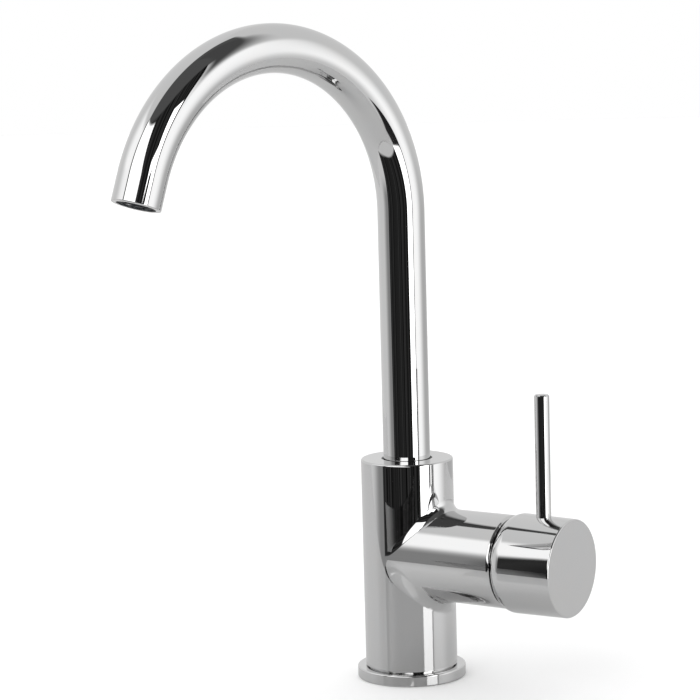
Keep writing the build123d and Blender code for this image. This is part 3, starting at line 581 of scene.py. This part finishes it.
# Spout: one brass tube, drawn, bent round a former in a single bend and plated. The outlet end is turned
# inside for the aerator, and its rim is rounded.
tube_sides = 160
bend_steps = 160
rim_steps = 5
tube_r = 12.7
tube_wall = 1.5
tube_foot = 117.0
bend_start = 254.3
bend_r = 90.1
bend_turn = math.radians(160.9)
tail = 14.4
outlet_bore_r = 10.15
outlet_bore_depth = 11.6
shoulder_r = 8.5
shoulder_depth = 13.1
rim_round = 0.5
spout_turn = math.radians(-103.1)
spout_way = Vector((math.cos(spout_turn), math.sin(spout_turn), 0))
tail_way = Vector((0, 0, math.cos(bend_turn))) + spout_way * math.sin(bend_turn)
bend_centre = Vector((0, 0, bend_start)) + spout_way * bend_r
tail_start = bend_centre + (Vector((0, 0, math.sin(bend_turn))) - spout_way * math.cos(bend_turn)) * bend_r
outlet = tail_start + tail_way * tail


def at_tube_cut(place, way):
    """A test for the tube's points in the plane through that place, square to that way."""
    return lambda point: (abs((point / mm - place).dot(way)) < near
                          and (point / mm - place).length < 2 * tube_r)


bpy.ops.mesh.primitive_circle_add(vertices=tube_sides, radius=tube_r * mm, location=(0, 0, 0))
swan_neck = bpy.context.object
swan_neck.name = "swan_neck"
bpy.ops.object.mode_set(mode="EDIT")
bpy.ops.mesh.select_mode(type="VERT")
bpy.ops.mesh.primitive_circle_add(vertices=tube_sides, radius=(tube_r - tube_wall) * mm,
                                  location=(0, 0, 0))
bpy.ops.mesh.select_all(action="SELECT")
bpy.ops.transform.translate(value=(0, 0, tube_foot * mm))
bpy.ops.mesh.extrude_edges_move(TRANSFORM_OT_translate={"value": (0, 0, (bend_start - tube_foot) * mm)})
bpy.ops.mesh.spin(steps=bend_steps, angle=bend_turn, center=bend_centre * mm,
                  axis=spout_way.cross(Vector((0, 0, 1))))

# The outer wall runs to the rim. The inner one steps in to a shoulder, and out again for the aerator
choose(swan_neck, lambda point: at_tube_cut(tail_start, tail_way)(point)
       and (point / mm - tail_start).length > tube_r - near)
bpy.ops.mesh.extrude_edges_move(TRANSFORM_OT_translate={"value": tail_way * tail * mm})
choose(swan_neck, lambda point: at_tube_cut(tail_start, tail_way)(point)
       and (point / mm - tail_start).length < tube_r - tube_wall + near)
inner_r = tube_r - tube_wall
inner_end = 0
for along, radius in ((tail - shoulder_depth, inner_r), (tail - shoulder_depth, shoulder_r),
                      (tail - outlet_bore_depth, shoulder_r), (tail - outlet_bore_depth, outlet_bore_r),
                      (tail, outlet_bore_r)):
    bpy.ops.mesh.extrude_edges_move(TRANSFORM_OT_translate={"value": tail_way * (along - inner_end) * mm})
    bpy.ops.transform.resize(value=[radius / inner_r] * 3,
                             center_override=(tail_start + tail_way * along) * mm)
    inner_r = radius
    inner_end = along

# Each end face is drawn in from the outer wall to the bore, and the outlet's rim is rounded
for place, way, bore_r in ((Vector((0, 0, tube_foot)), Vector((0, 0, 1)), tube_r - tube_wall),
                           (outlet, tail_way, outlet_bore_r)):
    choose(swan_neck, lambda point: at_tube_cut(place, way)(point)
           and (point / mm - place).length > tube_r - near)
    bpy.ops.mesh.extrude_edges_move(TRANSFORM_OT_translate={"value": (0, 0, 0)})
    bpy.ops.transform.resize(value=[bore_r / tube_r] * 3, center_override=place * mm)
choose(swan_neck, lambda point: at_tube_cut(outlet, tail_way)(point)
       and (point / mm - outlet).length > tube_r - near)
bpy.ops.mesh.bevel(offset=rim_round * mm, segments=rim_steps)
clean_mesh()
finish_piece(swan_neck, chrome, "spout", "spout_tube")

# Spigot and cartridge nut: turned from brass bar and left unplated, because they are hidden. The spigot
# is brazed in the foot of the tube, and the nut presses the cartridge on its seat.
# Turned brass: bright yellow metal with a thin brown tarnish in patches of 5 mm, and 0.3 mm tool marks.
brass_tarnish_size = 0.005
brass_mark_size = 0.0003
brass_mark_depth = 0.000004
brass_bright = 0.16
brass_dull = 0.36
brass, brass_tree = start_material("turned_brass")
brass_place = add_node(brass_tree, "ShaderNodeTexCoord")
brass_tarnish = add_node(brass_tree, "ShaderNodeTexNoise", [("Vector", brass_place, "Object")],
                         Scale=1 / brass_tarnish_size, Detail=4.0)
brass_colour = add_node(brass_tree, "ShaderNodeMix", [("Factor", brass_tarnish, 0)], data_type="RGBA",
                        in_6=tint("E6C982"), in_7=tint("C2985A"))
brass_gloss = add_node(brass_tree, "ShaderNodeMapRange", [("Value", brass_tarnish, 0)],
                       From_Min=noise_low, From_Max=noise_high, To_Min=brass_bright, To_Max=brass_dull)
brass_marks = add_node(brass_tree, "ShaderNodeTexNoise", [("Vector", brass_place, "Object")],
                       Scale=1 / brass_mark_size, Detail=2.0)
brass_bump = add_node(brass_tree, "ShaderNodeBump", [("Height", brass_marks, 0)],
                      Distance=brass_mark_depth)
brass_face = add_node(brass_tree, "ShaderNodeBsdfPrincipled", [("Base Color", brass_colour, 2),
                      ("Roughness", brass_gloss, 0), ("Normal", brass_bump, 0)], Metallic=1.0)
add_node(brass_tree, "ShaderNodeOutputMaterial", [("Surface", brass_face, "BSDF")])
dress(brass, "spout_spigot", "cartridge_nut")

# Glide ring and aerator shell: black acetal. The ring is black, and its black is also painted shade of the
# narrow gap at the tube's foot, where it shows as the thin dark line to the column. The shell is the
# threaded holder of the aerator.
# Moulded black acetal: smooth and waxy, with a soft shine and the mould's fine grain, drawn at 0.3 mm.
acetal_patch_size = 0.004
acetal_grain_size = 0.0003
acetal_grain_depth = 0.000006
acetal_shiny = 0.3
acetal_dull = 0.42
black_acetal, black_tree = start_material("moulded_black_acetal")
black_place = add_node(black_tree, "ShaderNodeTexCoord")
black_patches = add_node(black_tree, "ShaderNodeTexNoise", [("Vector", black_place, "Object")],
                         Scale=1 / acetal_patch_size, Detail=3.0)
black_colour = add_node(black_tree, "ShaderNodeMix", [("Factor", black_patches, 0)], data_type="RGBA",
                        in_6=tint("1C1D1F"), in_7=tint("2F3033"))
black_gloss = add_node(black_tree, "ShaderNodeMapRange", [("Value", black_patches, 0)],
                       From_Min=noise_low, From_Max=noise_high, To_Min=acetal_shiny, To_Max=acetal_dull)
black_grain = add_node(black_tree, "ShaderNodeTexNoise", [("Vector", black_place, "Object")],
                       Scale=1 / acetal_grain_size, Detail=2.0)
black_bump = add_node(black_tree, "ShaderNodeBump", [("Height", black_grain, 0)],
                      Distance=acetal_grain_depth)
black_face = add_node(black_tree, "ShaderNodeBsdfPrincipled", [("Base Color", black_colour, 2),
                      ("Roughness", black_gloss, 0), ("Normal", black_bump, 0)], IOR=1.48)
add_node(black_tree, "ShaderNodeOutputMaterial", [("Surface", black_face, "BSDF")])
# The glide ring's black is partly painted shade of the gap round the tube's foot
dress(black_acetal, "glide_ring", "aerator_shell")

# Aerator grid and diffuser: dark grey acetal, moulded. They fill the outlet as a honeycomb that breaks
# the water into a soft stream, and a thin film of lime from it makes the colour uneven over 2 mm or so.
lime_size = 0.002
lime_clean = 0.32
lime_crusted = 0.5
grey_acetal, grey_tree = start_material("moulded_grey_acetal")
grey_place = add_node(grey_tree, "ShaderNodeTexCoord")
grey_lime = add_node(grey_tree, "ShaderNodeTexNoise", [("Vector", grey_place, "Object")],
                     Scale=1 / lime_size, Detail=4.0)
grey_colour = add_node(grey_tree, "ShaderNodeMix", [("Factor", grey_lime, 0)], data_type="RGBA",
                       in_6=tint("36393C"), in_7=tint("595D61"))
grey_gloss = add_node(grey_tree, "ShaderNodeMapRange", [("Value", grey_lime, 0)],
                      From_Min=noise_low, From_Max=noise_high, To_Min=lime_clean, To_Max=lime_crusted)
grey_face = add_node(grey_tree, "ShaderNodeBsdfPrincipled", [("Base Color", grey_colour, 2),
                     ("Roughness", grey_gloss, 0)], IOR=1.48)
add_node(grey_tree, "ShaderNodeOutputMaterial", [("Surface", grey_face, "BSDF")])
dress(grey_acetal, "aerator_grid", "aerator_diffuser")

# Slide band: a split band of white acetal, moulded, that guides the foot of the spigot in the column.
# Natural acetal is milky, so light goes a little way in, and it has the mould's fine grain.
white_acetal, white_tree = start_material("moulded_white_acetal")
white_place = add_node(white_tree, "ShaderNodeTexCoord")
white_patches = add_node(white_tree, "ShaderNodeTexNoise", [("Vector", white_place, "Object")],
                         Scale=1 / acetal_patch_size, Detail=3.0)
white_colour = add_node(white_tree, "ShaderNodeMix", [("Factor", white_patches, 0)], data_type="RGBA",
                        in_6=tint("F3F1EA"), in_7=tint("E6E3D9"))
white_gloss = add_node(white_tree, "ShaderNodeMapRange", [("Value", white_patches, 0)],
                       From_Min=noise_low, From_Max=noise_high, To_Min=acetal_shiny, To_Max=acetal_dull)
white_grain = add_node(white_tree, "ShaderNodeTexNoise", [("Vector", white_place, "Object")],
                       Scale=1 / acetal_grain_size, Detail=2.0)
white_bump = add_node(white_tree, "ShaderNodeBump", [("Height", white_grain, 0)],
                      Distance=acetal_grain_depth)
white_face = add_node(white_tree, "ShaderNodeBsdfPrincipled", [("Base Color", white_colour, 2),
                      ("Roughness", white_gloss, 0), ("Normal", white_bump, 0)],
                      IOR=1.48, Subsurface_Weight=0.1, Subsurface_Scale=0.001)
add_node(white_tree, "ShaderNodeOutputMaterial", [("Surface", white_face, "BSDF")])
dress(white_acetal, "slide_band")

# Cartridge base, housing, turret and carrier: moulded of glass-filled nylon, which keeps its size in hot
# water. The turret turns with the lever, and the carrier slides in it.
# Glass-filled nylon: warm grey and matt, with pale flecks of fibres at the surface, drawn at 0.5 mm.
fleck_size = 0.0005
fleck_depth = 0.000008
fleck_start = 0.5
fleck_full = 0.75
nylon_matt = 0.55
nylon_fibre = 0.4
nylon, nylon_tree = start_material("glass_filled_nylon")
nylon_place = add_node(nylon_tree, "ShaderNodeTexCoord")
nylon_flecks = add_node(nylon_tree, "ShaderNodeTexNoise", [("Vector", nylon_place, "Object")],
                        Scale=1 / fleck_size, Detail=3.0, Distortion=1.5)
nylon_shown = add_node(nylon_tree, "ShaderNodeMapRange", [("Value", nylon_flecks, 0)],
                       From_Min=fleck_start, From_Max=fleck_full)
nylon_colour = add_node(nylon_tree, "ShaderNodeMix", [("Factor", nylon_shown, 0)], data_type="RGBA",
                        in_6=tint("A6A5A0"), in_7=tint("CFCDC6"))
nylon_gloss = add_node(nylon_tree, "ShaderNodeMapRange", [("Value", nylon_flecks, 0)],
                       From_Min=noise_low, From_Max=noise_high, To_Min=nylon_matt, To_Max=nylon_fibre)
nylon_bump = add_node(nylon_tree, "ShaderNodeBump", [("Height", nylon_flecks, 0)], Distance=fleck_depth)
nylon_face = add_node(nylon_tree, "ShaderNodeBsdfPrincipled", [("Base Color", nylon_colour, 2),
                      ("Roughness", nylon_gloss, 0), ("Normal", nylon_bump, 0)], IOR=1.53)
add_node(nylon_tree, "ShaderNodeOutputMaterial", [("Surface", nylon_face, "BSDF")])
dress(nylon, "cartridge_base", "cartridge_housing", "turret", "disc_carrier")

# Discs: alumina, pressed, fired and lapped flat until they hold water against each other. The fixed one
# lies on the seals, and the moving one turns and slides over it.
# Lapped alumina: warm white and dense, nearly a mirror at low angles, with faint firing clouds of 3 mm.
cloud_size = 0.003
alumina_polished = 0.06
alumina_dull = 0.14
alumina, alumina_tree = start_material("lapped_alumina")
alumina_place = add_node(alumina_tree, "ShaderNodeTexCoord")
alumina_clouds = add_node(alumina_tree, "ShaderNodeTexNoise", [("Vector", alumina_place, "Object")],
                          Scale=1 / cloud_size, Detail=3.0)
alumina_colour = add_node(alumina_tree, "ShaderNodeMix", [("Factor", alumina_clouds, 0)], data_type="RGBA",
                          in_6=tint("F4F1E8"), in_7=tint("E7E2D4"))
alumina_gloss = add_node(alumina_tree, "ShaderNodeMapRange", [("Value", alumina_clouds, 0)],
                         From_Min=noise_low, From_Max=noise_high,
                         To_Min=alumina_polished, To_Max=alumina_dull)
alumina_face = add_node(alumina_tree, "ShaderNodeBsdfPrincipled", [("Base Color", alumina_colour, 2),
                        ("Roughness", alumina_gloss, 0)], IOR=1.76)
add_node(alumina_tree, "ShaderNodeOutputMaterial", [("Surface", alumina_face, "BSDF")])
dress(alumina, "fixed_disc", "moving_disc")

# Dome and screw plug: turned brass, plated like the body. The dome is a thin shell, part of a ball round
# the lever's pivot, pressed in the arm's mouth. The plug closes the grub screw's hole under the knob.
dress(chrome, "dome", "screw_plug")

# Knob: turned from solid brass and plated. Its mantle tapers a little to the flat front, and the rounded
# back is hollowed as part of a ball, to swing over the dome. It holds the pin, and under it the screw.
knob_rear = 66.2
knob_rear_r = 24.3
knob_corner = 68.5
knob_corner_r = 26.657
knob_corner_round = 3.29
knob_front = 101.9
knob_front_r = 26.08
knob_front_round = 0.8
pivot = 50.0
hollow_steps = 24
pin_place = 85.0
pin_hole_floor = 93.6
pin_hole_r = 4.05
screw_hole_floor = 46.5
screw_hole_r = 3.05
knob_hole_depth = 10.0
hollow_r = math.hypot(knob_rear - pivot, knob_rear_r)
rim_turn = math.atan2(knob_rear_r, knob_rear - pivot)
hollow = [(pivot + hollow_r * math.cos(rim_turn * step / hollow_steps),
           hollow_r * math.sin(rim_turn * step / hollow_steps), 0) for step in range(hollow_steps + 1)]
knob = turn_piece("ball_backed_knob", hollow + [
    (knob_corner, knob_corner_r, knob_corner_round), (knob_front, knob_front_r, knob_front_round),
    (knob_front, 0, 0)], centre=(0, 0, arm_height * mm), lying=True)
cut_holes(knob, [((pin_place, 0, pin_hole_floor), (0, 0, 1), pin_hole_r, knob_hole_depth),
                 ((pin_place, 0, screw_hole_floor), (0, 0, -1), screw_hole_r, knob_hole_depth)])
finish_piece(knob, chrome, "lever", "knob")

# Pin lever: a ground brass rod, plated. Its top has a small chamfer, and its shank is pressed in the knob.
pin_r = 4.0
pin_top = 160.3
pin_chamfer = 0.6
shank_r = 3.0
shank_foot = 83.6
pin = turn_piece("pin_rod", [
    (shank_foot, 0, 0), (shank_foot, shank_r, 0), (pin_hole_floor, shank_r, 0), (pin_hole_floor, pin_r, 0),
    (pin_top - pin_chamfer, pin_r, 0), (pin_top, pin_r - pin_chamfer, 0), (pin_top, 0, 0)],
    centre=(pin_place * mm, 0, 0))
finish_piece(pin, chrome, "lever", "pin_lever")

# The CAD nodes that the finished pieces stand for wear the same plate
dress(chrome, "body", "base_flange", "spout_tube", "knob", "pin_lever")
